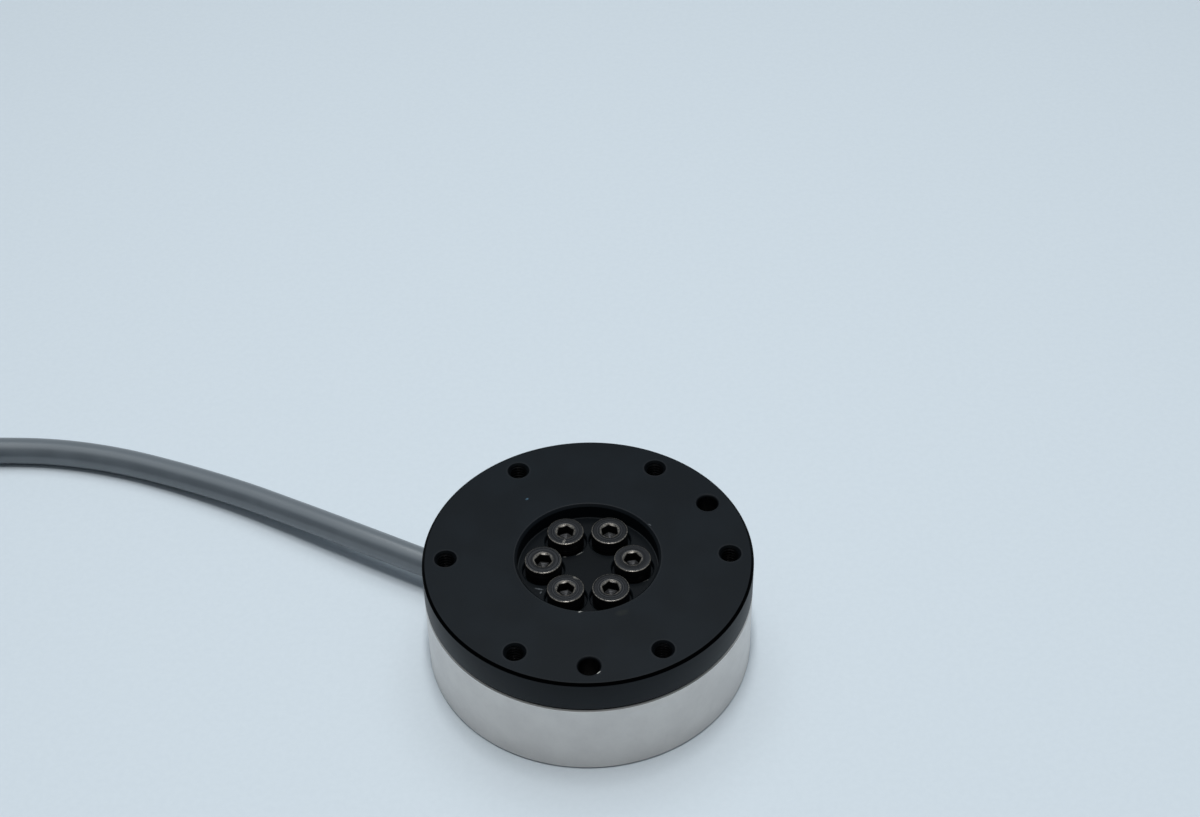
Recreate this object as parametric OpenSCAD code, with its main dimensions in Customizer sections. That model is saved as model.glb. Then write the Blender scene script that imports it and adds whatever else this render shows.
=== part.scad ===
// Six-axis force torque sensor with its cable, standing on its base face.
// Z is the sensing axis and the origin is the centre of the base face.
// The tool flange is bolted to the hub of a one-piece elastic body, whose base
// carries the electronics behind a cover. All lengths are in millimetres.

/* [Overall] */
// Outside diameter of the sensor
sensor_d = 63; // [62:0.5:72]
// Height from the base face to the tool face
sensor_h = 24.3; // [24.1:0.1:30]

/* [Bolt patterns of both faces] */
// Diameter of the tool face's bolt circle
bolt_circle_d = 54; // [52:0.5:56]
// Diameter of the base face's bolt circle
base_circle_d = 56; // [55:0.5:57]
// Number of tapped holes on each circle
bolt_count = 6; // [4, 6]
// Thread diameter of the tapped holes
bolt_d = 4; // [3:0.5:4.5]
// Thread pitch of the tapped holes
bolt_pitch = 0.7; // [0.5:0.05:0.8]
// Countersink of a tapped hole beyond its thread, on the radius
bolt_chamfer = 0.2; // [0.1:0.05:0.3]
// Diameter of the dowel bores
dowel_d = 4; // [3:0.5:5]
// Lead-in chamfer of a dowel bore
dowel_chamfer = 0.35; // [0.1:0.05:0.5]
// Angles of the two dowel bores
dowel_angles = [30, -90];

/* [Tool flange] */
// Thickness of the tool flange
flange_t = 7.0; // [6.2:0.1:7.2]
// Gap between the flange and the body, which also stops an overload
flange_gap = 0.4; // [0.3:0.05:0.6]
// Chamfer round the top edge
flange_chamfer = 0.5; // [0.2:0.1:1]
// Chamfer round the bottom edge
flange_low_chamfer = 0.2; // [0.1:0.05:0.4]
// Diameter of the round recess in the tool face
recess_d = 27; // [26.5:0.5:30]
// Depth of the recess
recess_depth = 3.5; // [3:0.1:3.6]
// Chamfer round the mouth of the recess
recess_chamfer = 0.5; // [0.2:0.1:0.8]
// Diameter of the spigot that centres the flange on the hub
spigot_d = 7; // [5:0.5:8]
// Height of the spigot
spigot_h = 1.2; // [0.8:0.1:2]

/* [Flange screws] */
// Diameter of the circle of flange screws
hub_circle_d = 17; // [16.8:0.1:18]
// Number of flange screws
hub_screw_count = 6; // [3, 6]
// Thread diameter of a flange screw
hub_screw_d = 4; // [3:0.5:4]
// Length of a flange screw under its head
hub_screw_len = 10; // [8:0.5:10]
// Head diameter of a flange screw
head_d = 7; // [6:0.1:7.2]
// Head height of a flange screw
head_h = 4; // [3:0.1:4]
// Chamfer round the top of a head
head_chamfer = 0.35; // [0.1:0.05:0.5]
// Width across the flats of the hexagon socket
key_af = 3; // [2:0.5:4]
// Depth of the hexagon socket
key_depth = 2.2; // [1.5:0.1:2.5]
// Diameter of the counterbore round each head
pocket_d = 8; // [7.6:0.1:8.2]
// Depth of the counterbores below the recess floor
pocket_depth = 1.3; // [0.5:0.1:1.6]
// Chamfer round the mouth of a counterbore
pocket_chamfer = 0.2; // [0.05:0.05:0.2]

/* [Elastic body] */
// Chamfer round the body's top edge
rim_chamfer = 0.25; // [0.1:0.05:0.4]
// Chamfer round the body's base edge
base_chamfer = 0.4; // [0.2:0.05:0.8]
// Width of the rim round the top pocket
rim_w = 7; // [6.6:0.1:8]
// Depth of the top pocket down to the beams
deck_depth = 2; // [1.5:0.1:2.2]
// Number of measuring beams
beam_count = 4; // [3, 4]
// Width of a beam
beam_w = 6; // [4:0.5:7]
// Height of a beam
beam_h = 5.4; // [4:0.1:5.6]
// Fillet radius at both ends of a beam
beam_fillet = 1; // [0.5:0.1:1.5]
// Thickness of the flexure that carries each beam's outer end
flexure_t = 1; // [0.6:0.1:1.4]
// Width of the slot behind each flexure
slot_w = 1.2; // [0.8:0.1:1.4]
// Half of the angle that a slot covers
slot_half_angle = 24; // [18:1:27]
// Metal between the slots and the top pocket's wall
slot_land = 1.7; // [1.4:0.1:2.2]
// Metal round the flange screws' threads in the hub
hub_land = 1.9; // [1.2:0.1:2.2]
// Land round the hub that the beams grow from
root_land = 0.6; // [0.4:0.1:1]
// Chamfer of the holes in the hub's top
hub_chamfer = 0.25; // [0.1:0.05:0.4]
// Height of the hub below the flange
hub_h = 9.3; // [8.5:0.1:9.6]
// Depth of the tapped holes in the base face
base_bolt_depth = 8; // [6:0.5:9]
// Depth of the dowel bores in the base face
base_dowel_depth = 6; // [4:0.5:8]

/* [Dust seal] */
// Radial width of the seal ring
seal_w = 0.9; // [0.7:0.1:1.1]
// Depth of the seal's groove in the rim
seal_groove_depth = 0.8; // [0.5:0.1:1.5]
// Metal between the groove and the outside of the body
seal_land = 0.8; // [0.6:0.1:1.2]

/* [Base cover] */
// Thickness of the base cover
cover_t = 1.8; // [1.6:0.1:2]
// How far the cover sits back from the base face
cover_inset = 0.2; // [0.1:0.05:0.4]
// Thickness of the cover's gasket
gasket_t = 0.4; // [0.3:0.1:0.6]
// Metal between the base holes and the cover's recess
cover_land = 2; // [1.6:0.1:2.4]
// Width of the ledge that the cover seats on
ledge_w = 4; // [3.8:0.1:4.2]
// Height of the ledge
ledge_h = 3; // [2.8:0.1:3.4]
// Metal between the base holes and the electronics bay
bay_land = 2.8; // [2.4:0.1:3.4]
// Number of cover screws
cover_screw_count = 6; // [4, 6]
// Thread diameter of the cover and board screws
small_screw_d = 2; // [1.6:0.2:2]
// Length of a cover screw
cover_screw_len = 5; // [4:0.2:5]

/* [Electronics] */
// Thickness of the circuit board
board_t = 1.2; // [1:0.1:1.6]
// Gap between the board's edge and the ledge
board_gap = 0.6; // [0.3:0.1:1]
// Height of the spacers under the board
spacer_h = 1.7; // [1.5:0.1:2]
// Length of a board screw under its head
board_screw_len = 4; // [3.8:0.1:4]
// Height of the integrated circuits
chip_h = 1; // [0.7:0.1:1.3]
// Thickness of the strain gauges and their leads
foil_t = 0.15; // [0.1:0.05:0.2]
// Height of the board's connector
socket_h = 2.6; // [2:0.1:2.8]
// Number of wires in the cable
wire_count = 6; // [4, 6]
// Diameter of a wire
wire_d = 0.8; // [0.6:0.1:0.9]

/* [Cable and gland] */
// Outside diameter of the cable
cable_d = 5.6; // [5:0.1:5.8]
// Direction in which the cable leaves the body
cable_angle = 154; // [140:1:160]
// Height of the cable's axis where it leaves the body
cable_z = 6.0; // [5.8:0.1:6.2]
// Wall of the rubber strain relief inside the gland
sleeve_wall = 0.7; // [0.5:0.1:0.8]
// Wall of the gland bush
bush_wall = 0.5; // [0.4:0.1:0.6]
// Thickness of the gland's collar
collar_t = 1.2; // [0.8:0.1:1.6]
// Length of the strain relief outside the collar
relief_len = 3.4; // [2.4:0.2:8]

/* [Coil and connector] */
// Radius of the coil's outer turn
coil_r = 43.6; // [40:0.1:48]
// Number of turns in the coil's lower layer
coil_columns = 5; // [4, 5]
// Distance between neighbouring turns
coil_pitch = 5.65; // [5.6:0.05:5.9]
// Thickness of the cable ties
tie_t = 1; // [0.8:0.1:1.4]
// Width of the cable ties
tie_w = 3.6; // [2.5:0.1:4.8]
// Outside diameter of the connector's coupling nut
nut_d = 14.6; // [14:0.1:16]
// Length of the coupling nut
nut_len = 13; // [12.5:0.5:15]
// Thread diameter of the coupling nut
nut_thread_d = 12; // [11:0.5:12]
// Length of the coupling nut's thread
nut_thread_len = 8; // [6:0.5:9]
// Diameter of the connector's body
plug_d = 12; // [11:0.5:13]
// Length of the connector's body
plug_len = 16; // [12:1:24]
// Length of the connector's rubber boot
boot_len = 15; // [10:1:20]
// Number of contact pins
pin_count = 8; // [4, 5, 8]
// Diameter of a contact pin
pin_d = 0.8; // [0.6:0.1:1]

/* [Hidden] */
$fn = 96;
more = 1;            // how far a cut runs past the face it opens
fit = 0.05;          // clearance on the radius between pieces that fit
free = 0.25;         // clearance on the radius of a screw's plain hole

ALUMINIUM = [0.10, 0.11, 0.12];
STEEL = [0.70, 0.71, 0.71];
SCREW = [0.16, 0.14, 0.12];
BRASS = [0.78, 0.62, 0.30];
RUBBER = [0.07, 0.07, 0.08];
BOARD = [0.05, 0.26, 0.14];
CHIP = [0.06, 0.06, 0.07];
CERAMIC = [0.62, 0.50, 0.36];
FOIL = [0.80, 0.52, 0.25];
SOCKET = [0.88, 0.86, 0.78];
NICKEL = [0.62, 0.61, 0.57];
JACKET = [0.40, 0.44, 0.47];
TIE = [0.09, 0.09, 0.09];

// radii from the bolt circle inwards
sensor_r = sensor_d / 2;
bolt_circle_r = bolt_circle_d / 2;
bolt_drill_r = (bolt_d - bolt_pitch) / 2;
bolt_sink = bolt_pitch / 2 + bolt_chamfer;
base_circle_r = base_circle_d / 2;
base_wall_r = base_circle_r - bolt_d / 2;
cover_recess_r = base_wall_r - cover_land;
bay_r = base_wall_r - bay_land;
ledge_r = cover_recess_r - ledge_w;
cover_screw_r = cover_recess_r - ledge_w * 0.55;  // a little inside the ledge's middle
board_r = ledge_r - board_gap;
board_screw_r = board_r - 2.9;
board_screw_start = 75;
board_screw_count = 3;
deck_r = sensor_r - rim_w;
slot_outer_r = deck_r - slot_land;
slot_inner_r = slot_outer_r - slot_w;
slot_relief = 0.15;
window_r = slot_inner_r - flexure_t;
hub_circle_r = hub_circle_d / 2;
hub_r = hub_circle_r + hub_screw_d / 2 + hub_land;
root_r = hub_r + root_land;
seal_outer_r = sensor_r - seal_land;

// heights above the base face
flange_z = sensor_h - flange_t;
rim_z = flange_z - flange_gap;
recess_z = sensor_h - recess_depth;
seat_z = recess_z - pocket_depth;
beam_top_z = rim_z - deck_depth;
beam_low_z = beam_top_z - beam_h;
hub_low_z = flange_z - hub_h;
cover_top_z = cover_inset + cover_t;
ledge_low_z = cover_top_z + gasket_t;
ledge_top_z = ledge_low_z + ledge_h;
board_z = cover_top_z + spacer_h;
board_top_z = board_z + board_t;

// sizes of screws, gauges and board parts
small_head_d = 1.9 * small_screw_d;
small_head_h = 0.7 * small_screw_d;
small_head_bevel = 0.2;
small_key_d = 0.6 * small_screw_d;
small_sink = small_head_d / 2 - small_screw_d / 2 + fit;
screw_run_out = 0.3;
tap_room = 0.2;
board_screw_grip = board_screw_len - spacer_h - board_t;
gauge_size = [3.6, 2.4];
gauge_edge = 0.8;
gauge_r = root_r + gauge_edge + gauge_size[0] / 2;
lead_w = 2.4;
lead_foot = 1.9;
lead_edge = 1.4;
lead_r = board_r - lead_edge;
amplifier_size = [3.9, 4.9];
amplifier_r = 11.5;
amplifier_start = 22;
processor_size = [7, 7];
converter_size = [5, 5];
converter_place = [14.2, 245];
regulator_size = [3, 4, 1.5];
regulator_place = [14.2, 335];
capacitor_size = [1.25, 2, 1.1];
capacitor_r = 7.6;
capacitor_count = 8;
socket_size = [4.2, 9];
socket_r = 15.2;
lead_plug_size = [3, 7.6, 1.8];
lead_plug_reach = 1;

// gland, along the cable's own axis from the centre of the sensor outwards
cable_r = cable_d / 2;
sleeve_r = cable_r + sleeve_wall;
bush_r = sleeve_r + bush_wall;
collar_r = bush_r + 0.6;
spot_face = 0.5;
collar_x = sensor_r - spot_face;
collar_end_x = collar_x + collar_t;
ferrule_len = 2;
ferrule_r = cable_r + 0.4;
ferrule_seat_x = bay_r + 0.3;
ferrule_wall = 1.7;
bush_low_x = ferrule_seat_x + ferrule_wall;
sleeve_low_x = collar_x - 3;
relief_end_x = collar_end_x + relief_len;
jacket_x = ferrule_seat_x - ferrule_len - 0.5;

// the cable's route after the strain relief, to the coil
CABLE_POINTS = [
    [-44, 22.2, 5.7], [-53, 27.4, 5.2], [-62, 32.6, 4.6], [-71, 37.6, 4.1],
    [-80, 42.1, 3.6], [-89, 46.1, 3.2], [-98, 49.5, 3.0], [-107, 52.0, 2.9],
    [-116, 53.6, 2.8], [-125, 54.2, 2.8], [-134, 54.2, 2.9],
    [-142, 54.2, 3.3], [-149.7, 54.2, 3.8]
];
cable_sides = 10;

// coil: its lower layer stands on the ties, the upper lies in its valleys
coil_place = [-172, 54.2 - coil_r];
coil_inner_r = coil_r - (coil_columns - 1) * coil_pitch;
coil_top_r = coil_r - coil_pitch / 2;
coil_low_z = tie_t + cable_r;
coil_top_z = coil_low_z + sqrt(cable_d * cable_d - coil_pitch * coil_pitch / 4);
COIL_CORNERS = [
    [coil_inner_r, coil_low_z], [coil_r, coil_low_z],
    [coil_top_r, coil_top_z], [coil_inner_r + coil_pitch / 2, coil_top_z]
];
tie_slack = 0.12;
TIE_CORNERS = [for (i = [0:3])
    COIL_CORNERS[i] + [i % 3 == 0 ? -tie_slack : fit, i < 2 ? 0 : fit]];
tie_angles = [150, 330];
tie_head = [5, 4.6, 3.4];

// connector: its axis leaves the upper layer's outer turn along -Y
// The boot starts beside the coil, just clear of the side that leans in.
plug_z = nut_d / 2;
boot_small_r = cable_r + 0.6;
boot_big_r = plug_d / 2 - 1;
coil_lean = 0.6;
plug_lead = sqrt(pow(coil_r + cable_r - coil_lean, 2) - pow(coil_top_r - boot_small_r, 2));
plug_place = [coil_place[0] - coil_top_r, coil_place[1] - plug_lead, plug_z];
boot_ribs = 4;
nut_knurls = 24;
insert_d = 8.6;
insert_len = 8.5;
neck_r = insert_d / 2 + 0.6;
insert_seat = 2;
neck_len = insert_len - insert_seat;
contact_depth = 4;
nut_play = 0.1;
pin_circle_d = 5.5;
pin_len = 6;
grip_len = nut_len - nut_thread_len;
seal_d = 1;
seal_seat_r = nut_thread_d / 2 - 0.4;
seal_room = seal_d + fit;

// a point on the cable's axis at distance x from the sensor's centre
function on_gland_axis(x) =
    [x * cos(cable_angle), x * sin(cable_angle), cable_z];
function unit(v) = v / norm(v);
function tangent(p, i) =
    unit(p[min(i + 1, len(p) - 1)] - p[max(i - 1, 0)]);
function ring_at(p, i, r, n) =
    let (t = tangent(p, i), side = unit(cross(t, [0, 0, 1])), up = cross(side, t))
    [for (k = [0:n - 1]) p[i] + r * (cos(360 * k / n) * side + sin(360 * k / n) * up)];

// a tube of radius r with n sides along the points p
module sweep(p, r, n) {
    last = (len(p) - 1) * n;
    polyhedron(
        points = [for (i = [0:len(p) - 1]) each ring_at(p, i, r, n)],
        faces = concat(
            [[for (k = [0:n - 1]) k]],
            [for (i = [0:len(p) - 2]) for (k = [0:n - 1])
                [i * n + k, (i + 1) * n + k, (i + 1) * n + (k + 1) % n, i * n + (k + 1) % n]],
            [[for (k = [0:n - 1]) last + n - 1 - k]]
        )
    );
}

module around(count, r, start = 0) {
    for (i = [0:count - 1])
        rotate(start + 360 * i / count) translate([r, 0, 0]) children();
}

module at_dowels(r) {
    for (a = dowel_angles)
        rotate(a) translate([r, 0, 0]) children();
}

// stands its children on the cable's axis, with Z pointing out of the body
module at_gland() {
    translate([0, 0, cable_z]) rotate(cable_angle) rotate([0, 90, 0]) children();
}

// lays its children along the connector, with Z pointing to its pins
module at_plug() {
    translate(plug_place) rotate([90, 0, 0]) children();
}

module chamfered_disc(r, h, low, high) {
    rotate_extrude()
        polygon([[0, 0], [r - low, 0], [r, low], [r, h - high], [r - high, h], [0, h]]);
}

module tube(r_out, r_in, h) {
    difference() {
        cylinder(r = r_out, h = h);
        translate([0, 0, -more]) cylinder(r = r_in, h = h + 2 * more);
    }
}

// a hole that opens upwards at z = 0, with a chamfered mouth
module hole_down(r, depth, chamfer) {
    translate([0, 0, -depth]) cylinder(r = r, h = depth + more);
    translate([0, 0, -chamfer]) cylinder(r1 = r, r2 = r + chamfer + more, h = chamfer + more);
}

module rounded_rect(size, r) {
    translate([r, 0]) square([size[0] - 2 * r, size[1]]);
    translate([0, r]) square([size[0], size[1] - 2 * r]);
    for (x = [r, size[0] - r], y = [r, size[1] - r])
        translate([x, y]) circle(r);
}

module centred_box(size, r = 0.3) {
    linear_extrude(size[2])
        translate([-size[0] / 2, -size[1] / 2]) rounded_rect([size[0], size[1]], r);
}

// socket head cap screw, seated at z = 0 with its shank pointing down
module cap_screw(d, length, width, height, af, depth) {
    corner_r = af / sqrt(3);
    mouth = 0.1;
    bevel = 0.3;
    drill_h = af / 4;
    difference() {
        union() {
            chamfered_disc(width / 2, height, 0, head_chamfer);
            translate([0, 0, -length])
                chamfered_disc(d / 2 - fit, length + fit, screw_run_out, 0);
        }
        translate([0, 0, height - depth]) cylinder(r = corner_r, h = depth + more, $fn = 6);
        translate([0, 0, height - depth - drill_h])
            cylinder(r1 = 0, r2 = af / 2, h = drill_h + fit);
        translate([0, 0, height - bevel])
            cylinder(r1 = corner_r - mouth, r2 = corner_r - mouth + bevel + more, h = bevel + more);
    }
}

// small screw, seated at z = 0 with its shank pointing down
module small_screw(length, countersunk) {
    head_r = small_head_d / 2;
    shank_r = small_screw_d / 2 - fit;
    top = countersunk ? 0 : small_head_h;
    half = countersunk
        ? [[0, 0], [head_r, 0], [shank_r, -small_sink]]
        : [[0, top], [head_r - small_head_bevel, top], [head_r, top - small_head_bevel],
           [head_r, 0], [shank_r, 0]];
    difference() {
        rotate_extrude() polygon(concat(half, [
            [shank_r, screw_run_out - length], [shank_r - screw_run_out, -length], [0, -length]
        ]));
        translate([0, 0, top - small_key_d * 0.7])
            cylinder(r = small_key_d / sqrt(3), h = small_key_d + more, $fn = 6);
    }
}

module tool_flange() {
    color(ALUMINIUM) difference() {
        union() {
            translate([0, 0, flange_z])
                chamfered_disc(sensor_r, flange_t, flange_low_chamfer, flange_chamfer);
            translate([0, 0, flange_z - spigot_h]) cylinder(d = spigot_d, h = spigot_h + fit);
        }
        translate([0, 0, sensor_h]) hole_down(recess_d / 2, recess_depth, recess_chamfer);
        translate([0, 0, recess_z]) around(hub_screw_count, hub_circle_r) {
            hole_down(pocket_d / 2, pocket_depth, pocket_chamfer);
            translate([0, 0, -recess_z]) cylinder(r = hub_screw_d / 2 + free, h = sensor_h);
        }
        translate([0, 0, sensor_h]) {
            around(bolt_count, bolt_circle_r) hole_down(bolt_drill_r, flange_t + more, bolt_sink);
            at_dowels(bolt_circle_r) hole_down(dowel_d / 2, flange_t + more, dowel_chamfer);
        }
    }
}

module flange_screws() {
    color(SCREW) translate([0, 0, seat_z]) around(hub_screw_count, hub_circle_r)
        cap_screw(hub_screw_d, hub_screw_len, head_d, head_h, key_af, key_depth);
}

// the sharp corner between a beam's side and a circle, less its fillet
module beam_corner(r, centre_r) {
    y = beam_w / 2 + beam_fillet;
    centre = [sqrt(centre_r * centre_r - y * y), y];
    difference() {
        polygon([
            centre, [centre[0], beam_w / 2 - fit],
            [sqrt(r * r - beam_w * beam_w / 4), beam_w / 2 - fit], centre * (r / centre_r)
        ]);
        translate(centre) circle(beam_fillet);
    }
}

// everything that is open between the hub, the beams and the flexures
module beam_windows() {
    difference() {
        circle(window_r);
        circle(root_r);
        for (i = [0:beam_count - 1]) rotate(360 * i / beam_count) {
            translate([0, -beam_w / 2]) square([window_r + more, beam_w]);
            for (side = [0, 1]) mirror([0, side]) {
                beam_corner(window_r, window_r - beam_fillet);
                beam_corner(root_r, root_r + beam_fillet);
            }
        }
    }
}

// curved slot behind a flexure, with a drilled relief hole at each end
module flexure_slot() {
    reach = 2 * slot_outer_r;
    mid_r = (slot_inner_r + slot_outer_r) / 2;
    intersection() {
        difference() {
            circle(slot_outer_r);
            circle(slot_inner_r);
        }
        polygon([
            [0, 0], [reach * cos(slot_half_angle), -reach * sin(slot_half_angle)],
            [reach * cos(slot_half_angle), reach * sin(slot_half_angle)]
        ]);
    }
    for (side = [-1, 1])
        rotate(side * slot_half_angle) translate([mid_r, 0]) circle(slot_w / 2 + slot_relief);
}

module base_holes() {
    mirror([0, 0, 1]) {
        around(bolt_count, base_circle_r) hole_down(bolt_drill_r, base_bolt_depth, bolt_sink);
        at_dowels(base_circle_r) hole_down(dowel_d / 2, base_dowel_depth, dowel_chamfer);
    }
}

// the gland's seat, its thread and the way through the ledge for the ferrule
module gland_hole() {
    at_gland() {
        translate([0, 0, collar_x]) cylinder(r = collar_r + free, h = sensor_r);
        translate([0, 0, bush_low_x]) cylinder(r = bush_r, h = sensor_r);
        translate([0, 0, ledge_r - more]) cylinder(r = cable_r + free, h = sensor_r - ledge_r);
        translate([0, 0, ledge_r - more])
            cylinder(r = ferrule_r + free, h = ferrule_seat_x - ledge_r + more);
    }
}

// half section of the turned blank: wall, rim with its groove, deck, hub and ledge
module body_profile() {
    groove_z = rim_z - seal_groove_depth;
    groove_in_r = seal_outer_r - seal_w - fit;
    bore_r = spigot_d / 2 + fit;
    polygon([
        [cover_recess_r, 0], [sensor_r - base_chamfer, 0], [sensor_r, base_chamfer],
        [sensor_r, rim_z - rim_chamfer], [sensor_r - rim_chamfer, rim_z],
        [seal_outer_r + fit, rim_z], [seal_outer_r + fit, groove_z],
        [groove_in_r, groove_z], [groove_in_r, rim_z],
        [deck_r, rim_z], [deck_r, beam_top_z], [hub_r, beam_top_z], [hub_r, flange_z],
        [bore_r + hub_chamfer, flange_z], [bore_r, flange_z - hub_chamfer],
        [bore_r, hub_low_z], [hub_r, hub_low_z], [hub_r, beam_low_z],
        [bay_r, beam_low_z], [bay_r, ledge_top_z], [ledge_r, ledge_top_z],
        [ledge_r, ledge_low_z], [cover_recess_r, ledge_low_z]
    ]);
}

module sensing_body() {
    color(STEEL) difference() {
        rotate_extrude() body_profile();
        translate([0, 0, beam_low_z - more / 2]) linear_extrude(beam_h + more) {
            beam_windows();
            for (i = [0:beam_count - 1]) rotate(360 * i / beam_count) flexure_slot();
        }
        translate([0, 0, flange_z]) around(hub_screw_count, hub_circle_r)
            hole_down(hub_screw_d / 2, hub_h + more, hub_chamfer);
        translate([0, 0, ledge_low_z - more]) around(cover_screw_count, cover_screw_r)
            cylinder(d = small_screw_d, h = ledge_h + 2 * more);
        base_holes();
        gland_hole();
    }
}

module strain_gauges() {
    color(FOIL) for (i = [0:beam_count - 1]) rotate(360 * i / beam_count) {
        for (z = [beam_low_z - foil_t, beam_top_z])
            translate([gauge_r, 0, z]) centred_box([gauge_size[0], gauge_size[1], foil_t]);
        for (side = [0, 1]) mirror([0, side, 0])
            translate([gauge_r, beam_w / 2 + foil_t, (beam_low_z + beam_top_z) / 2])
                rotate([90, 0, 0]) centred_box([gauge_size[0], gauge_size[1], foil_t]);
    }
}

// flat leads from the terminals under the beams down to the board
module gauge_leads() {
    drop = beam_low_z - board_top_z;
    color(FOIL) for (i = [0:beam_count - 1]) rotate(360 * i / beam_count)
        translate([lead_r, lead_w / 2, board_top_z]) rotate([90, 0, 0]) linear_extrude(lead_w)
            polygon([
                [-lead_foot, 0], [foil_t, 0], [foil_t, drop - foil_t],
                [lead_foot, drop - foil_t], [lead_foot, drop], [0, drop],
                [0, foil_t], [-lead_foot, foil_t]
            ]);
}

// square ring with a raised lip that touches the flange
module dust_seal() {
    base_h = seal_groove_depth + flange_gap / 2;
    lip_half = 0.15;
    color(RUBBER) translate([0, 0, rim_z - seal_groove_depth]) rotate_extrude()
        translate([seal_outer_r - seal_w, 0])
            polygon([
                [0, 0], [seal_w, 0], [seal_w, base_h],
                [seal_w / 2 + lip_half, seal_groove_depth + flange_gap],
                [seal_w / 2 - lip_half, seal_groove_depth + flange_gap], [0, base_h]
            ]);
}

module base_cover() {
    color(ALUMINIUM) translate([0, 0, cover_inset]) difference() {
        chamfered_disc(cover_recess_r - fit, cover_t, 0.2, 0);
        mirror([0, 0, 1]) around(cover_screw_count, cover_screw_r) {
            translate([0, 0, -cover_t - more])
                cylinder(r = small_screw_d / 2 + free, h = cover_t + 2 * more);
            translate([0, 0, -small_sink])
                cylinder(r1 = small_screw_d / 2 - fit, r2 = small_head_d / 2, h = small_sink);
        }
        translate([0, 0, cover_t - board_screw_grip - tap_room])
            around(board_screw_count, board_screw_r, board_screw_start)
                cylinder(d = small_screw_d, h = cover_t);
    }
}

module cover_gasket() {
    color(RUBBER) translate([0, 0, cover_top_z]) difference() {
        tube(cover_recess_r - 2 * fit, ledge_r + fit, gasket_t);
        translate([0, 0, -more]) around(cover_screw_count, cover_screw_r)
            cylinder(r = small_screw_d / 2 + free / 2, h = gasket_t + 2 * more);
    }
}

module cover_screws() {
    color(SCREW) translate([0, 0, cover_inset]) mirror([0, 0, 1])
        around(cover_screw_count, cover_screw_r) small_screw(cover_screw_len, true);
}

module circuit_board() {
    color(BOARD) translate([0, 0, board_z]) difference() {
        cylinder(r = board_r, h = board_t);
        translate([0, 0, -more]) around(board_screw_count, board_screw_r, board_screw_start)
            cylinder(r = small_screw_d / 2 + free / 2, h = board_t + 2 * more);
    }
}

module board_spacers() {
    color(BRASS) translate([0, 0, cover_top_z]) around(board_screw_count, board_screw_r, board_screw_start)
        tube(small_screw_d, small_screw_d / 2 + fit, spacer_h);
}

module board_screws() {
    color(SCREW) translate([0, 0, board_top_z]) around(board_screw_count, board_screw_r, board_screw_start)
        small_screw(board_screw_len, false);
}

// a chip body with its rows of leads reaching the board
module leaded_chip(size, lead_rows) {
    pitch = 0.65;
    lead = [0.6, 0.24, 0.25];
    bury = 0.1;
    body = [size[0] - 2 * (lead[0] - bury), size[1] - 2 * (lead[0] - bury)];
    count = floor((body[1] - lead[0]) / pitch) + 1;
    translate([0, 0, bury]) centred_box([body[0], body[1], chip_h - bury], 0.2);
    for (row = [0:lead_rows - 1]) rotate(360 * row / lead_rows)
        for (i = [0:count - 1])
            translate([body[0] / 2 - bury, (i - (count - 1) / 2) * pitch - lead[1] / 2, 0])
                cube(lead);
}

module amplifier_chips() {
    color(CHIP) translate([0, 0, board_top_z])
        around(beam_count, amplifier_r, amplifier_start) leaded_chip(amplifier_size, 2);
}

module converter_chip() {
    color(CHIP) translate([0, 0, board_top_z]) rotate(converter_place[1])
        translate([converter_place[0], 0, 0]) leaded_chip(converter_size, 4);
}

module processor_chip() {
    color(CHIP) translate([0, 0, board_top_z]) leaded_chip(processor_size, 4);
}

module voltage_regulator() {
    color(CHIP) translate([0, 0, board_top_z]) rotate(regulator_place[1])
        translate([regulator_place[0], 0, 0]) centred_box(regulator_size);
}

module capacitors() {
    color(CERAMIC) translate([0, 0, board_top_z])
        around(capacitor_count, capacitor_r, amplifier_start) centred_box(capacitor_size, 0.15);
}

// open-topped wire socket with its mouth towards the cable
module board_connector() {
    wall = (socket_size[1] - lead_plug_size[1]) / 2 - fit;
    floor_h = (socket_h - lead_plug_size[2]) / 2;
    color(SOCKET) translate([0, 0, board_top_z]) rotate(cable_angle)
        translate([socket_r - socket_size[0] / 2, -socket_size[1] / 2, 0]) difference() {
            cube([socket_size[0], socket_size[1], socket_h]);
            translate([socket_size[0] - lead_plug_size[0] + lead_plug_reach, wall, floor_h])
                cube([socket_size[0], lead_plug_size[1] + 2 * fit, lead_plug_size[2] + fit]);
        }
}

module lead_plug() {
    floor_h = (socket_h - lead_plug_size[2]) / 2;
    color(SOCKET) translate([0, 0, board_top_z + floor_h]) rotate(cable_angle)
        translate([
            socket_r + socket_size[0] / 2 - lead_plug_size[0] + lead_plug_reach,
            -lead_plug_size[1] / 2, 0
        ]) cube(lead_plug_size);
}

// wires leave the cable's end square, fan out and meet the back of their plug
module inner_leads() {
    stub = 0.5;
    plug_x = socket_r + socket_size[0] / 2 + lead_plug_reach;
    start_x = jacket_x - stub;
    end_x = plug_x + stub;
    end_z = board_top_z + socket_h / 2;
    pitch = (lead_plug_size[1] - wire_d) / wire_count;
    fan_r = cable_r - wire_d;
    color(BRASS) rotate(cable_angle) for (i = [0:wire_count - 1]) {
        a = 180 * (i + 0.5) / wire_count;
        y0 = -fan_r * cos(a);
        z0 = cable_z + (i % 2 == 0 ? -1 : 1) * fan_r * sin(a);
        y1 = (i - (wire_count - 1) / 2) * pitch;
        fan = [for (t = [0:0.25:1]) let (s = t * t * (3 - 2 * t))
            [start_x + (end_x - start_x) * t, y0 + (y1 - y0) * s, z0 + (end_z - z0) * s]];
        sweep(concat([[jacket_x, y0, z0]], fan, [[plug_x, y1, end_z]]), wire_d / 2, 8);
    }
}

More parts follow.
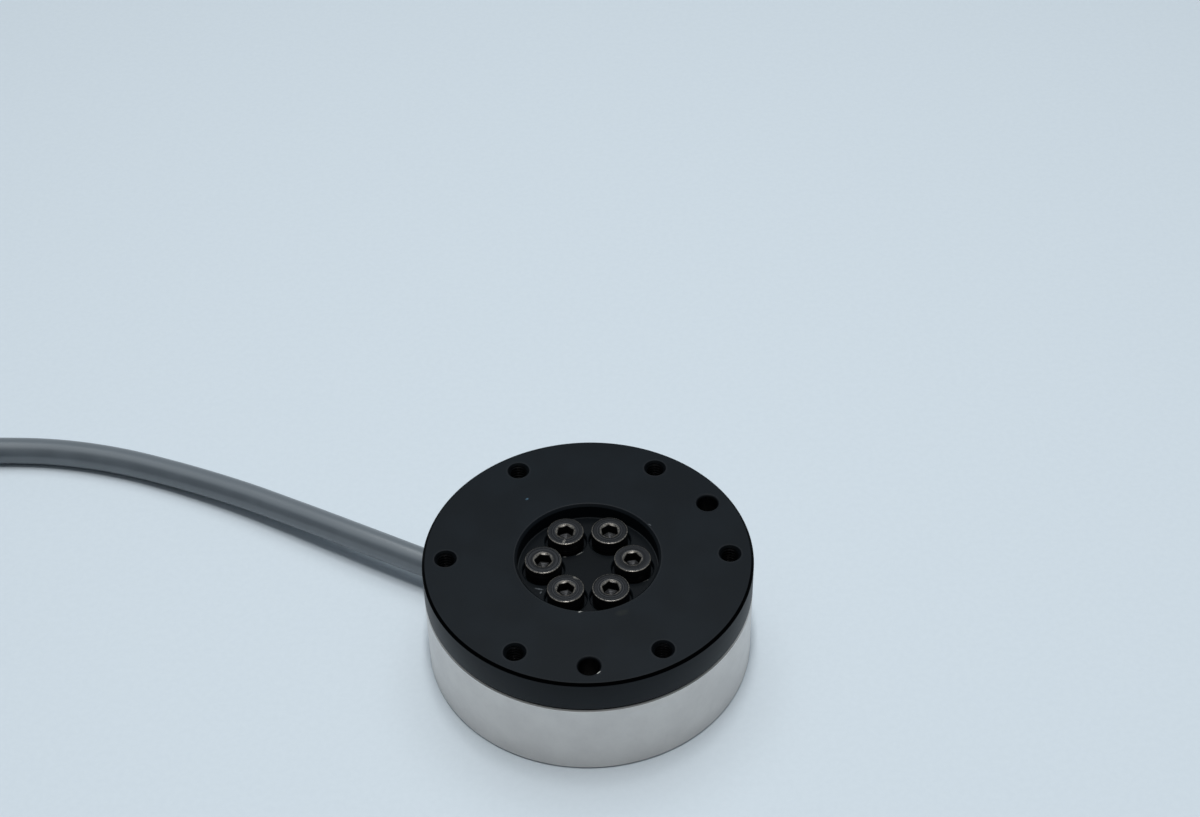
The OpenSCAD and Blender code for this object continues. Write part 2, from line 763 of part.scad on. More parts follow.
module gland_bush() {
    color(NICKEL) at_gland() difference() {
        union() {
            translate([0, 0, bush_low_x])
                chamfered_disc(bush_r - fit, collar_x - bush_low_x + fit, 0.3, 0);
            translate([0, 0, collar_x]) chamfered_disc(collar_r, collar_t, 0, 0.3);
        }
        cylinder(r = cable_r + fit, h = sensor_d);
        translate([0, 0, sleeve_low_x]) cylinder(r = sleeve_r, h = sensor_d);
    }
}

// crimped on the cable's jacket behind the wall, so that a pull can't draw it out
module cable_ferrule() {
    color(NICKEL) at_gland() translate([0, 0, ferrule_seat_x - ferrule_len])
        difference() {
            chamfered_disc(ferrule_r, ferrule_len, 0.2, 0.2);
            translate([0, 0, -more]) cylinder(r = cable_r + fit, h = ferrule_len + 2 * more);
        }
}

// rubber sleeve in the bush, with a lip on the collar and a tapered nose
module strain_relief() {
    lip_r = sleeve_r + 0.5;
    lip_t = 0.8;
    lip_bevel = 0.2;
    nose_wall = 0.35;
    color(RUBBER) at_gland() rotate_extrude() polygon([
        [cable_r + fit, sleeve_low_x + fit], [sleeve_r - fit, sleeve_low_x + fit],
        [sleeve_r - fit, collar_end_x], [lip_r, collar_end_x],
        [lip_r, collar_end_x + lip_t - lip_bevel], [lip_r - lip_bevel, collar_end_x + lip_t],
        [sleeve_r, collar_end_x + lip_t + lip_bevel], [cable_r + nose_wall, relief_end_x],
        [cable_r + fit, relief_end_x]
    ]);
}

module cable() {
    inside = [for (x = [jacket_x, bush_low_x, collar_x, relief_end_x]) on_gland_axis(x)];
    color(JACKET) sweep(concat(inside, CABLE_POINTS), cable_r, cable_sides);
}

// outline of a belt drawn tight round circles of radius r at the corners
module belt(corners, r) {
    polygon(corners);
    for (i = [0:len(corners) - 1]) {
        a = corners[i];
        b = corners[(i + 1) % len(corners)];
        side = r * [b[1] - a[1], a[0] - b[0]] / norm(b - a);
        polygon([a, a + side, b + side, b]);
        translate(a) circle(r);
    }
}

module cable_coil() {
    color(JACKET) translate(coil_place) rotate_extrude() belt(COIL_CORNERS, cable_r);
}

// a strap round the bundle, with its head and a short tail on the outside
module coil_ties() {
    head_r = (coil_inner_r + coil_r) / 2;
    head_z = coil_top_z + cable_r + tie_t;
    color(TIE) translate(coil_place) for (a = tie_angles) rotate(a) {
        translate([0, tie_w / 2, 0]) rotate([90, 0, 0]) linear_extrude(tie_w)
            difference() {
                belt(TIE_CORNERS, cable_r + tie_t);
                belt(TIE_CORNERS, cable_r);
            }
        translate([head_r, 0, head_z - fit]) {
            centred_box(tie_head, 0.6);
            translate([tie_head[0] / 2 - fit, -tie_w / 2, tie_head[2] / 3])
                cube([tie_head[0], tie_w, tie_t]);
        }
    }
}

module plug_boot() {
    rib_pitch = boot_len / (boot_ribs + 1);
    rib_w = 1.2;
    rib_h = 0.5;
    blind_end = 2;
    color(RUBBER) at_plug() difference() {
        union() {
            cylinder(r1 = boot_small_r, r2 = boot_big_r, h = boot_len);
            for (i = [1:boot_ribs]) {
                along = i / (boot_ribs + 1);
                rib_r = boot_small_r + (boot_big_r - boot_small_r) * along + rib_h;
                translate([0, 0, i * rib_pitch - rib_w / 3])
                    chamfered_disc(rib_r, rib_w, rib_w / 4, rib_w / 4);
            }
        }
        translate([0, 0, -more]) cylinder(r = cable_r + fit, h = boot_len - blind_end + more);
    }
}

// turned body with grip flats, a neck for the nut and a bore for the insert
module plug_body() {
    flat_depth = 0.6;
    flat_start = 3;
    color(NICKEL) at_plug() translate([0, 0, boot_len]) difference() {
        union() {
            chamfered_disc(plug_d / 2, plug_len, 0.8, 0.5);
            translate([0, 0, plug_len - fit]) cylinder(r = neck_r, h = neck_len + fit);
        }
        for (side = [0, 180]) rotate(side)
            translate([plug_d / 2 - flat_depth, -plug_d / 2, flat_start])
                cube([plug_d, plug_d, plug_len - 2 * flat_start - 1]);
        translate([0, 0, plug_len - insert_seat])
            cylinder(r = insert_d / 2 + fit, h = insert_len + more);
    }
}

// coupling nut: a ribbed grip, a groove for the o-ring and an outside thread in front
module plug_nut() {
    knurl_r = 0.55;
    thread_z = grip_len + seal_room;
    color(NICKEL) at_plug() translate([0, 0, boot_len + plug_len + nut_play]) difference() {
        union() {
            chamfered_disc(nut_d / 2, grip_len, 0.4, 0.4);
            cylinder(r = seal_seat_r, h = thread_z + fit);
            translate([0, 0, thread_z])
                chamfered_disc(nut_thread_d / 2, nut_len - thread_z, 0.2, 0.6);
        }
        translate([0, 0, -more]) cylinder(r = neck_r + fit, h = nut_len + 2 * more);
        around(nut_knurls, nut_d / 2 + knurl_r / 2, 180 / nut_knurls)
            translate([0, 0, -more]) cylinder(r = knurl_r, h = grip_len + more, $fn = 16);
    }
}

module plug_insert() {
    key_w = 1.2;
    color(CHIP) at_plug() translate([0, 0, boot_len + plug_len - insert_seat]) difference() {
        cylinder(d = insert_d, h = insert_len);
        translate([0, 0, insert_len - contact_depth]) {
            translate([insert_d / 2 - key_w / 2, -key_w / 2, 0])
                cube([key_w, key_w, contact_depth + more]);
            around(pin_count, pin_circle_d / 2)
                cylinder(r = pin_d / 2 + fit, h = contact_depth + more, $fn = 32);
        }
    }
}

module plug_pins() {
    straight = pin_len - pin_d / 2;
    color(BRASS) at_plug()
        translate([0, 0, boot_len + plug_len + neck_len - contact_depth])
            around(pin_count, pin_circle_d / 2) {
                cylinder(d = pin_d, h = straight, $fn = 32);
                translate([0, 0, straight]) sphere(d = pin_d, $fn = 32);
            }
}

// o-ring in the groove behind the nut's thread, against the grip
module plug_seal() {
    grip_z = boot_len + plug_len + nut_play + grip_len;
    color(RUBBER) at_plug() translate([0, 0, grip_z + seal_d / 2]) rotate_extrude()
        translate([seal_seat_r + seal_d / 2, 0]) circle(d = seal_d, $fn = 32);
}

tool_flange();
flange_screws();
sensing_body();
strain_gauges();
gauge_leads();
dust_seal();
base_cover();
cover_gasket();
cover_screws();
circuit_board();
board_spacers();
board_screws();
amplifier_chips();
converter_chip();
processor_chip();
voltage_regulator();
capacitors();
board_connector();
lead_plug();
inner_leads();
gland_bush();
cable_ferrule();
strain_relief();
cable();
cable_coil();
coil_ties();
plug_boot();
plug_body();
plug_nut();
plug_insert();
plug_pins();
plug_seal();
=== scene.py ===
import math

import bmesh
import bpy
from mathutils import Matrix, Vector
from mathutils.geometry import delaunay_2d_cdt


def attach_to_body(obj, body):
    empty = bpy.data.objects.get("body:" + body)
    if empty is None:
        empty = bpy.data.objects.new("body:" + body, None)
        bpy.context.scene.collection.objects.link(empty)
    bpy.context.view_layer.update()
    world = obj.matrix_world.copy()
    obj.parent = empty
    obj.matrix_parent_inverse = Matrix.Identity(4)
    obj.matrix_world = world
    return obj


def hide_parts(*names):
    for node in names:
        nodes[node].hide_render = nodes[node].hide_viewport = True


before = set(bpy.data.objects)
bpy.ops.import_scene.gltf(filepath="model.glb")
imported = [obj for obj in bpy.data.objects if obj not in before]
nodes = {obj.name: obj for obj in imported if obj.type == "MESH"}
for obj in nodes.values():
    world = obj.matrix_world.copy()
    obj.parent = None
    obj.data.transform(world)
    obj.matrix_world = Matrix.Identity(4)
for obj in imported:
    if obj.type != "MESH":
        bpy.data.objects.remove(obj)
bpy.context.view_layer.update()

MM = 0.001
scene = bpy.context.scene
scene.view_settings.view_transform = "Standard"

# ---------------------------------------------------------------- camera

CAMERA_PLACE = (0.002858, -0.275881, 0.320734)
right = Vector((0.99982, -0.01309, -0.01399))
up = Vector((0.01916, 0.68316, 0.73002))
forward = Vector((0.0, 0.73015, -0.68328))
camera = bpy.data.objects.new("camera", bpy.data.cameras.new("camera"))
scene.collection.objects.link(camera)
camera.data.sensor_width = 36.0
camera.data.lens = 63.8806
camera.data.clip_start = 0.01
camera.data.clip_end = 50.0
camera_rows = [(right[i], up[i], -forward[i], CAMERA_PLACE[i]) for i in range(3)]
camera.matrix_world = Matrix(camera_rows + [(0, 0, 0, 1)])
scene.camera = camera

# ---------------------------------------------------------------- sizes in mm, as the model has them

SENSOR_R, SENSOR_H = 31.5, 24.3
FLANGE_Z = SENSOR_H - 7.0
RIM_Z = FLANGE_Z - 0.4
BOLT_R, BASE_BOLT_R, BOLT_COUNT = 27.0, 28.0, 6
THREAD_PITCH, THREAD_R, DRILL_R, SINK_R = 0.7, 2.0, 1.65, 2.2
BASE_BOLT_DEPTH = 8.0
DOWEL_R, DOWEL_CHAMFER, DOWEL_ANGLES = 2.0, 0.35, (30, -90)
FLANGE_CHAMFER, FLANGE_LOW_CHAMFER = 0.5, 0.2
RECESS_R, RECESS_CHAMFER = 13.5, 0.5
RECESS_Z = SENSOR_H - 3.5
SPIGOT_R, SPIGOT_CHAMFER = 3.5, 0.3
SPIGOT_Z = FLANGE_Z - 1.2
HUB_R, SCREW_COUNT = 8.5, 6
POCKET_R, POCKET_CHAMFER, CLEAR_R = 4.0, 0.2, 2.25
SEAT_Z = RECESS_Z - 1.3
HEAD_R, HEAD_H, KEY_AF, KEY_DEPTH = 3.5, 4.0, 3.0, 2.2
SCREW_TURNS = (8, 37, 21, 52, 14, 44)
SHANK_R, SHANK_END_Z = 1.95, 9.55
CHIP_LEAD_Z = 5.25
CABLE_R = 2.8
CABLE_ANGLE = math.radians(154)
CABLE_Z = 6.0
CABLE_STEP = 2.6
COIL = Vector((-172.0, 10.6))
COIL_PITCH = 5.65
COIL_LOW_Z, VALLEY_Z, CROSS_Z = 3.8, 8.64, 9.42
low_turns = [43.6 - COIL_PITCH * i for i in range(5)]
high_turns = [low_turns[-1] + COIL_PITCH * (i + 0.5) for i in range(4)]

# ---------------------------------------------------------------- meshes


def piece(name, verts, faces, slot, angle=None, weld=None):
    """a mesh object in mm that rides on the sensor"""
    mesh = bpy.data.meshes.new(name)
    mesh.from_pydata([Vector(v) * MM for v in verts], [], faces)
    mesh.validate()
    b = bmesh.new()
    b.from_mesh(mesh)
    if weld:
        bmesh.ops.remove_doubles(b, verts=b.verts, dist=weld * MM)
    bmesh.ops.recalc_face_normals(b, faces=b.faces)
    b.to_mesh(mesh)
    b.free()
    obj = bpy.data.objects.new(name, mesh)
    scene.collection.objects.link(obj)
    for p in mesh.polygons:
        p.use_smooth = True
    if angle is not None:
        mesh.set_sharp_from_angle(angle=math.radians(angle))
    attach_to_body(obj, "root")
    return obj


def attach(obj, name, values):
    """one number for each point of the mesh, for its material to read"""
    obj.data.attributes.new(name, "FLOAT", "POINT").data.foreach_set("value", values)


def circle_of(count, r, cx=0.0, cy=0.0):
    return [(cx + r * math.cos(2 * math.pi * k / count), cy + r * math.sin(2 * math.pi * k / count))
            for k in range(count)]


def grid_faces(rows, sides, ring=False):
    """quads between closed rows of points; a ring also joins the last row to the first"""
    return [(i * sides + k, i * sides + (k + 1) % sides, (i + 1) % rows * sides + (k + 1) % sides,
             (i + 1) % rows * sides + k) for i in range(rows if ring else rows - 1) for k in range(sides)]


def closed_faces(rows, sides):
    """quads between closed rows of points, with a flat face at both ends"""
    last = (rows - 1) * sides
    return grid_faces(rows, sides) + [tuple(range(sides))[::-1], tuple(range(last, last + sides))]


def joined(parts):
    verts, faces = [], []
    for v, f in parts:
        n = len(verts)
        verts += v
        faces += [tuple(n + j for j in g) for g in f]
    return verts, faces


def softened(points, radius, steps=3):
    """a profile of (radius, height) whose corners are rounded off"""
    p = [Vector(q) for q in points]
    out = [p[0]]
    for i in range(1, len(p) - 1):
        a, b, c = p[i - 1:i + 2]
        u, v = a - b, c - b
        room_u = u.length * (0.9 if i == 1 else 0.45)
        room_v = v.length * (0.9 if i == len(p) - 2 else 0.45)
        cut = min(radius / math.tan(u.angle(v) / 2), room_u, room_v)
        u, v = u.normalized() * cut, v.normalized() * cut
        out += [b + u * (1 - t) ** 2 + v * t ** 2 for t in [k / steps for k in range(steps + 1)]]
    return out + [p[-1]]


def lathe(profile, sides, cx=0.0, cy=0.0):
    """quads round an upright axis, open at both ends"""
    verts = [(x, y, z) for r, z in profile for x, y in circle_of(sides, r, cx, cy)]
    return verts, grid_faces(len(profile), sides)


def level_face(z, outer, holes):
    """a flat face at height z inside one circle and outside the others: (x, y, r, sides)"""
    points, edges = [], []
    for cx, cy, r, sides in [outer] + holes:
        n = len(points)
        points += [Vector(p) for p in circle_of(sides, r, cx, cy)]
        edges += [(n + k, n + (k + 1) % sides) for k in range(sides)]
    flat, _, faces, *_ = delaunay_2d_cdt(points, edges, [], 0, 1e-5)
    kept = []
    for f in faces:
        mid = sum((flat[i] for i in f), Vector((0, 0))) / len(f)
        in_hole = any((mid - Vector((x, y))).length <= r * math.cos(math.pi / sides)
                      for x, y, r, sides in holes)
        if mid.length < outer[2] and not in_hole:
            kept.append(tuple(f))
    return [(p.x, p.y, z) for p in flat], kept


# ---------------------------------------------------------------- cable


def catmull(points, step):
    """points along a smooth curve through the given ones, about step apart"""
    p = [Vector(q) for q in points]
    p = [2 * p[0] - p[1]] + p + [2 * p[-1] - p[-2]]
    out = []
    for i in range(1, len(p) - 2):
        a, b, c, d = p[i - 1:i + 3]
        ta, tb, tc = [max((q - r).length, 1e-6) ** 0.5 for q, r in ((b, a), (c, b), (d, c))]
        m1 = (c - b) + tb * ((b - a) / ta - (c - a) / (ta + tb))
        m2 = (c - b) + tb * ((d - c) / tc - (d - b) / (tb + tc))
        n = max(1, int(round((c - b).length / step)))
        for k in range(n):
            t = k / n
            out.append((2 * b - 2 * c + m1 + m2) * t ** 3
                       + (3 * c - 3 * b - 2 * m1 - m2) * t ** 2 + m1 * t + b)
    out.append(p[-2])
    return out


def on_coil(azimuth, r, z):
    a = math.radians(azimuth)
    return (COIL.x + r * math.cos(a), COIL.y + r * math.sin(a), z)


def on_axis(x):
    return (x * math.cos(CABLE_ANGLE), x * math.sin(CABLE_ANGLE), CABLE_Z)


def ease(t):
    t = min(max(t, 0.0), 1.0)
    return t * t * (3 - 2 * t)


def settling(azimuth):
    """1 where an upper turn has just crossed the one below it, 0 once it lies in the valley"""
    return 1 - ease((azimuth - 2) / 22)


def coil_route():
    """five turns inwards on the floor, four outwards in their valleys, each with one step to the next"""
    per_turn, step_angle, climb_angle = 24, 50.0, 16
    azimuths = [360 * i / per_turn for i in range(per_turn)]
    stepping = [ease((az - (360 - step_angle)) / step_angle) for az in azimuths]
    rise = CROSS_Z - VALLEY_Z
    points = []
    for r, r_next in zip(low_turns, low_turns[1:] + high_turns[:1]):
        lift = VALLEY_Z - COIL_LOW_Z if r == low_turns[-1] else 0.0
        points += [on_coil(90 + az, r + (r_next - r) * s, COIL_LOW_Z + lift * s)
                   for az, s in zip(azimuths, stepping)]
    for r, r_next in zip(high_turns, high_turns[1:]):
        for az, s in zip(azimuths, stepping):
            climbing = ease((az - (360 - step_angle - climb_angle)) / 20)
            crossing = climbing if r == high_turns[0] else max(climbing, settling(az))
            points.append(on_coil(90 + az, r + (r_next - r) * s, VALLEY_Z + rise * crossing))
    return points + [on_coil(90 + az, high_turns[-1], VALLEY_Z + rise * settling(az))
                     for az in range(0, 90, 15)]


# out through the bush, down to the floor and along it to the coil
route = [on_axis(x) for x in (21.0, 25.2, 31.0, 35.6)]
route += [
    (-44, 22.2, 5.7), (-53, 27.4, 5.2), (-62, 32.6, 4.6), (-71, 37.6, 4.1),
    (-80, 42.1, 3.6), (-89, 46.1, 3.2), (-98, 49.5, 3.0), (-107, 52.0, 2.9),
    (-116, 53.6, 2.8), (-125, 54.2, 2.8), (-134, 54.2, 2.9), (-142, 54.2, 3.3),
    (-149.7, 54.2, 3.8), (-157, 54.2, 3.8), (-164.5, 54.2, 3.8)]
route += coil_route()
# off the coil and straight into the connector
plug_x = COIL.x - high_turns[-1]
route += [(plug_x, y, z) for y, z in (
    (10.6, 8.75), (6, 9.1), (2, 9.4), (-1.5, 9.38), (-5.5, 9.0), (-9.5, 8.2), (-13.5, 7.5),
    (-17.5, 7.3), (-21.5, 7.3), (-25.5, 7.3), (-28.7, 7.3))]
cable_line = catmull(route, CABLE_STEP)


def tube_mesh(line, sides, radius):
    """rings along line, kept from twisting; radius(k, i) is that of side k of ring i"""
    verts = []
    side = (line[1] - line[0]).cross(Vector((0, 0, 1))).normalized()
    for i, p in enumerate(line):
        t = (line[min(i + 1, len(line) - 1)] - line[max(i - 1, 0)]).normalized()
        side = (side - t * side.dot(t)).normalized()
        top = side.cross(t)
        for k in range(sides):
            a = 2 * math.pi * k / sides
            verts.append(p + radius(k, i) * (side * math.cos(a) + top * math.sin(a)))
    return verts, closed_faces(len(line), sides)


def jacket_radius(k, i):
    """the wires under the jacket show as faint flats that wind slowly round it"""
    wires, flat, twist = 6, 0.006, 0.11
    return CABLE_R * (1 - flat * (1 + math.cos(wires * 2 * math.pi * k / CABLE_SIDES + i * twist)))


CABLE_SIDES = 32
cable = piece("signal_cable", *tube_mesh(cable_line, CABLE_SIDES, jacket_radius), "cable_jacket")
around = circle_of(CABLE_SIDES, 1.0)
attach(cable, "lengthwise", [i * CABLE_STEP / 100 for i in range(len(cable_line)) for _ in around])
attach(cable, "around_x", [x for x, _ in around] * len(cable_line))
attach(cable, "around_y", [y for _, y in around] * len(cable_line))
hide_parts("cable", "cable_coil")


def hull_loop(centres, r, count):
    """the outline of circles of radius r round the centres, at count directions"""
    directions = [Vector(p) for p in circle_of(count, 1.0)]
    return [max(centres, key=lambda c: c.dot(n)) + r * n for n in directions]


def bevelled_box(place, x_low, x_high, half_w, z_low, z_high, bevel):
    """a box with bevelled edges, put in position by place(point, sideways)"""
    verts = []
    for z, g in ((z_low, bevel), (z_low + bevel, 0), (z_high - bevel, 0), (z_high, bevel)):
        for sx, sy in ((-1, -1), (1, -1), (1, 1), (-1, 1)):
            x = x_low if sx < 0 else x_high
            steps = (g + bevel, g), (g, g + bevel)
            for gx, gy in steps if sx * sy > 0 else steps[::-1]:
                verts.append(place(Vector((x - sx * gx, z)), sy * (half_w - gy)))
    return verts, closed_faces(4, 8)


def coil_tie(name, azimuth, upper):
    """a strap drawn tight round the turns, with its head, its pawl and its toothed, cut tail"""
    count, half_w, edge = 72, 1.8, 0.22
    centres = [Vector((r, COIL_LOW_Z)) for r in low_turns]
    centres += [Vector((r, VALLEY_Z)) for r in high_turns[:upper]]
    inner, outer = [hull_loop(centres, CABLE_R + gap, count) for gap in (0.04, 0.98)]
    turned = Matrix.Rotation(math.radians(azimuth), 3, "Z")

    def place(p, sideways):
        return turned @ Vector((p.x, sideways, 0)) + Vector((COIL.x, COIL.y, p.y))

    strap = []
    for a, b in zip(inner, outer):
        c = a.lerp(b, 0.75)
        strap += [place(q, w) for q, w in ((a, -half_w), (a, half_w), (c, half_w), (b, half_w - edge),
                                           (b, edge - half_w), (c, -half_w))]
    top = max(p.y for p in outer)
    mid = (low_turns[0] + low_turns[-1]) / 2
    parts = [
        (strap, grid_faces(count, 6, ring=True)),
        bevelled_box(place, mid - 2.5, mid + 2.5, 2.3, top - 0.1, top + 3.36, 0.35),
        bevelled_box(place, mid - 1.1, mid + 0.6, 1.4, top + 3.2, top + 3.6, 0.12),
        bevelled_box(place, mid + 2.3, mid + 7.4, 1.8, top + 1.15, top + 2.12, 0.15)]
    for x in [mid + 2.8 + i * 0.56 for i in range(8)]:
        parts.append(bevelled_box(place, x, x + 0.3, 1.2, top + 0.98, top + 1.2, 0.05))
    return piece(name, *joined(parts), "tie_plastic", angle=35)


tie_a = coil_tie("coil_tie_left", 150, 4)
tie_b = coil_tie("coil_tie_right", 330, 3)
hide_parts("coil_ties")
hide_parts("coil_ties")

# ---------------------------------------------------------------- tool flange

taps = circle_of(BOLT_COUNT, BOLT_R)
pockets = circle_of(SCREW_COUNT, HUB_R)
dowels = [(BOLT_R * math.cos(math.radians(a)), BOLT_R * math.sin(math.radians(a))) for a in DOWEL_ANGLES]


def thread_wall(cx, cy, z_top, z_low):
    """the wall of a tapped hole: a right-handed thread between two countersunk mouths"""
    sides, per_pitch = 48, 12
    rows = int(round((z_top - z_low) / THREAD_PITCH * per_pitch)) + 1
    verts = []
    for i in range(rows):
        z = z_top - (z_top - z_low) * i / (rows - 1)
        for k in range(sides):
            u = abs((z / THREAD_PITCH - k / sides) % 1.0 - 0.5) * 2
            r = THREAD_R - (THREAD_R - DRILL_R) * min(max((u - 0.125) / 0.625, 0.0), 1.0)
            r = max(r, SINK_R - (z_top - z), SINK_R - (z - z_low))
            a = 2 * math.pi * k / sides
            verts.append((cx + r * math.cos(a), cy + r * math.sin(a), z))
    return verts, grid_faces(rows, sides)


def turned_flange():
    """rim, recess and spigot, the level faces between them, and the walls of all holes"""
    rim_sides, recess_sides, spigot_sides, pocket_sides, hole_sides = 192, 144, 64, 72, 48
    top = SENSOR_H
    # the level faces end here, a little outside the softened edges
    face_r, under_r = SENSOR_R - FLANGE_CHAMFER - 0.2, SENSOR_R - FLANGE_LOW_CHAMFER - 0.2
    mouth_r, floor_r = RECESS_R + RECESS_CHAMFER + 0.2, RECESS_R - 0.2
    spigot_end_r = SPIGOT_R - SPIGOT_CHAMFER
    pocket_mouth_r, dowel_mouth_r = POCKET_R + POCKET_CHAMFER + 0.035, DOWEL_R + DOWEL_CHAMFER + 0.15

    rim = softened([
        (face_r, top), (SENSOR_R - FLANGE_CHAMFER, top), (SENSOR_R, top - FLANGE_CHAMFER),
        (SENSOR_R, FLANGE_Z + FLANGE_LOW_CHAMFER), (SENSOR_R - FLANGE_LOW_CHAMFER, FLANGE_Z),
        (under_r, FLANGE_Z)], 0.14)
    recess = softened([
        (mouth_r, top), (RECESS_R + RECESS_CHAMFER, top), (RECESS_R, top - RECESS_CHAMFER),
        (RECESS_R, RECESS_Z), (floor_r, RECESS_Z)], 0.08)
    spigot = [(SPIGOT_R, FLANGE_Z), (SPIGOT_R, SPIGOT_Z + SPIGOT_CHAMFER), (spigot_end_r, SPIGOT_Z)]
    dowel = softened([
        (dowel_mouth_r, top), (DOWEL_R + DOWEL_CHAMFER, top), (DOWEL_R, top - DOWEL_CHAMFER),
        (DOWEL_R, FLANGE_Z)], 0.08)
    pocket = softened([
        (pocket_mouth_r, RECESS_Z), (POCKET_R + POCKET_CHAMFER, RECESS_Z),
        (POCKET_R, RECESS_Z - POCKET_CHAMFER), (POCKET_R, SEAT_Z)], 0.06)
    pocket += [Vector((CLEAR_R, SEAT_Z)), Vector((CLEAR_R, FLANGE_Z))]

    def holes(places, r, sides=hole_sides):
        return [(x, y, r, sides) for x, y in places]

    parts = [
        lathe(rim, rim_sides), lathe(recess, recess_sides), lathe(spigot, spigot_sides),
        level_face(top, (0, 0, face_r, rim_sides),
                   holes([(0, 0)], mouth_r, recess_sides) + holes(taps, SINK_R)
                   + holes(dowels, dowel_mouth_r)),
        level_face(RECESS_Z, (0, 0, floor_r, recess_sides), holes(pockets, pocket_mouth_r, pocket_sides)),
        level_face(FLANGE_Z, (0, 0, under_r, rim_sides),
                   holes([(0, 0)], SPIGOT_R, spigot_sides) + holes(taps, SINK_R) + holes(dowels, DOWEL_R)
                   + holes(pockets, CLEAR_R, pocket_sides)),
        level_face(SPIGOT_Z, (0, 0, spigot_end_r, spigot_sides), [])]
    parts += [thread_wall(x, y, top, FLANGE_Z) for x, y in taps]
    parts += [lathe(dowel, hole_sides, x, y) for x, y in dowels]
    parts += [lathe(pocket, pocket_sides, x, y) for x, y in pockets]
    return joined(parts)


flange = piece("turned_flange", *turned_flange(), "anodised", angle=32, weld=2e-4)
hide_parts("tool_flange")

# ---------------------------------------------------------------- socket head screws


def hexagon_radius(a, turn):
    """distance from the middle to a flat of the socket, in direction a"""
    return KEY_AF / 2 / math.cos(math.radians((math.degrees(a) - turn) % 60 - 30))


def screw_head(cx, cy, turn):
    """head with a rubbed rim, a countersunk mouth, a hexagon socket and a drilled bottom, with painted
    shade down in the socket
    """
    sides = 72
    top = SEAT_Z + HEAD_H
    key_z = top - KEY_DEPTH
    # radius, height, wear (below 0: painted shade, dark down in the socket), share of the hexagon;
    # where the share is 1, the radius is counted from the hexagon's side
    profile = [
        (HEAD_R - 0.04, SEAT_Z + 0.02, 0, 0), (HEAD_R, SEAT_Z + 0.08, 0, 0), (HEAD_R, top - 0.3, 0, 0),
        (HEAD_R, top - 0.2, 0, 0), (3.48, top - 0.13, 0.5, 0), (3.42, top - 0.05, 1, 0),
        (3.35, top - 0.01, 0.5, 0), (3.28, top, 0, 0), (2.9, top, 0, 0), (2.5, top, 0, 0),
        (2.2, top, 0, 0), (2.0, top, 0, 0), (1.93, top - 0.02, 0.5, 0),
        (1.84, top - 0.1, 1, 0), (1.76, top - 0.2, 0.6, 0.4), (0, top - 0.28, 0.1, 1),
        (0, top - 0.5, -0.6, 1), (0, key_z, -1, 1), (-0.16, key_z - 0.02, -0.4, 1),
        (0.9, key_z - 0.25, -0.45, 0), (0.45, key_z - 0.5, -0.25, 0), (0.03, key_z - 0.78, -0.5, 0)]
    verts, wear_and_shade, ring = [], [], []
    for r, z, wear, hexed in profile:
        for k in range(sides):
            a = 2 * math.pi * k / sides
            flat = hexagon_radius(a, turn)
            here = r + flat if hexed == 1 else r * (1 - hexed) + flat * hexed
            verts.append((cx + here * math.cos(a), cy + here * math.sin(a), z))
            wear_and_shade.append(wear)
            ring.append(here + z * 0.7 + cx)
    return (verts, closed_faces(len(profile), sides)), wear_and_shade, ring


def screw_shank(cx, cy):
    """the part down in the hub, under the head"""
    profile = [(SHANK_R, SEAT_Z + 0.1), (SHANK_R, SHANK_END_Z + 0.45), (SHANK_R - 0.35, SHANK_END_Z)]
    verts, _ = lathe(profile, 24, cx, cy)
    return verts, closed_faces(len(profile), 24)


parts, wear_and_shade, ring = [], [], []
for (x, y), turn in zip(pockets, SCREW_TURNS):
    head, head_wear_and_shade, head_ring = screw_head(x, y, turn)
    shank = screw_shank(x, y)
    parts += [head, shank]
    wear_and_shade += head_wear_and_shade + [0.0] * len(shank[0])
    ring += head_ring + [0.0] * len(shank[0])
screws = piece("flange_cap_screws", *joined(parts), "socket_screws", angle=24)
# wear on the rims and mouths; negative values are painted shade in the sockets
attach(screws, "wear_and_shade", wear_and_shade)
attach(screws, "ring_r", ring)
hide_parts("flange_screws")

# ---------------------------------------------------------------- node materials


def fill_ramp(node, stops):
    """sets a colour ramp's stops and gives its colour"""
    elements = node.color_ramp.elements
    for i, (at, colour) in enumerate(stops):
        e = elements[i] if i < 2 else elements.new(at)
        e.position, e.color = at, (*colour, 1)
    return node.outputs["Color"]


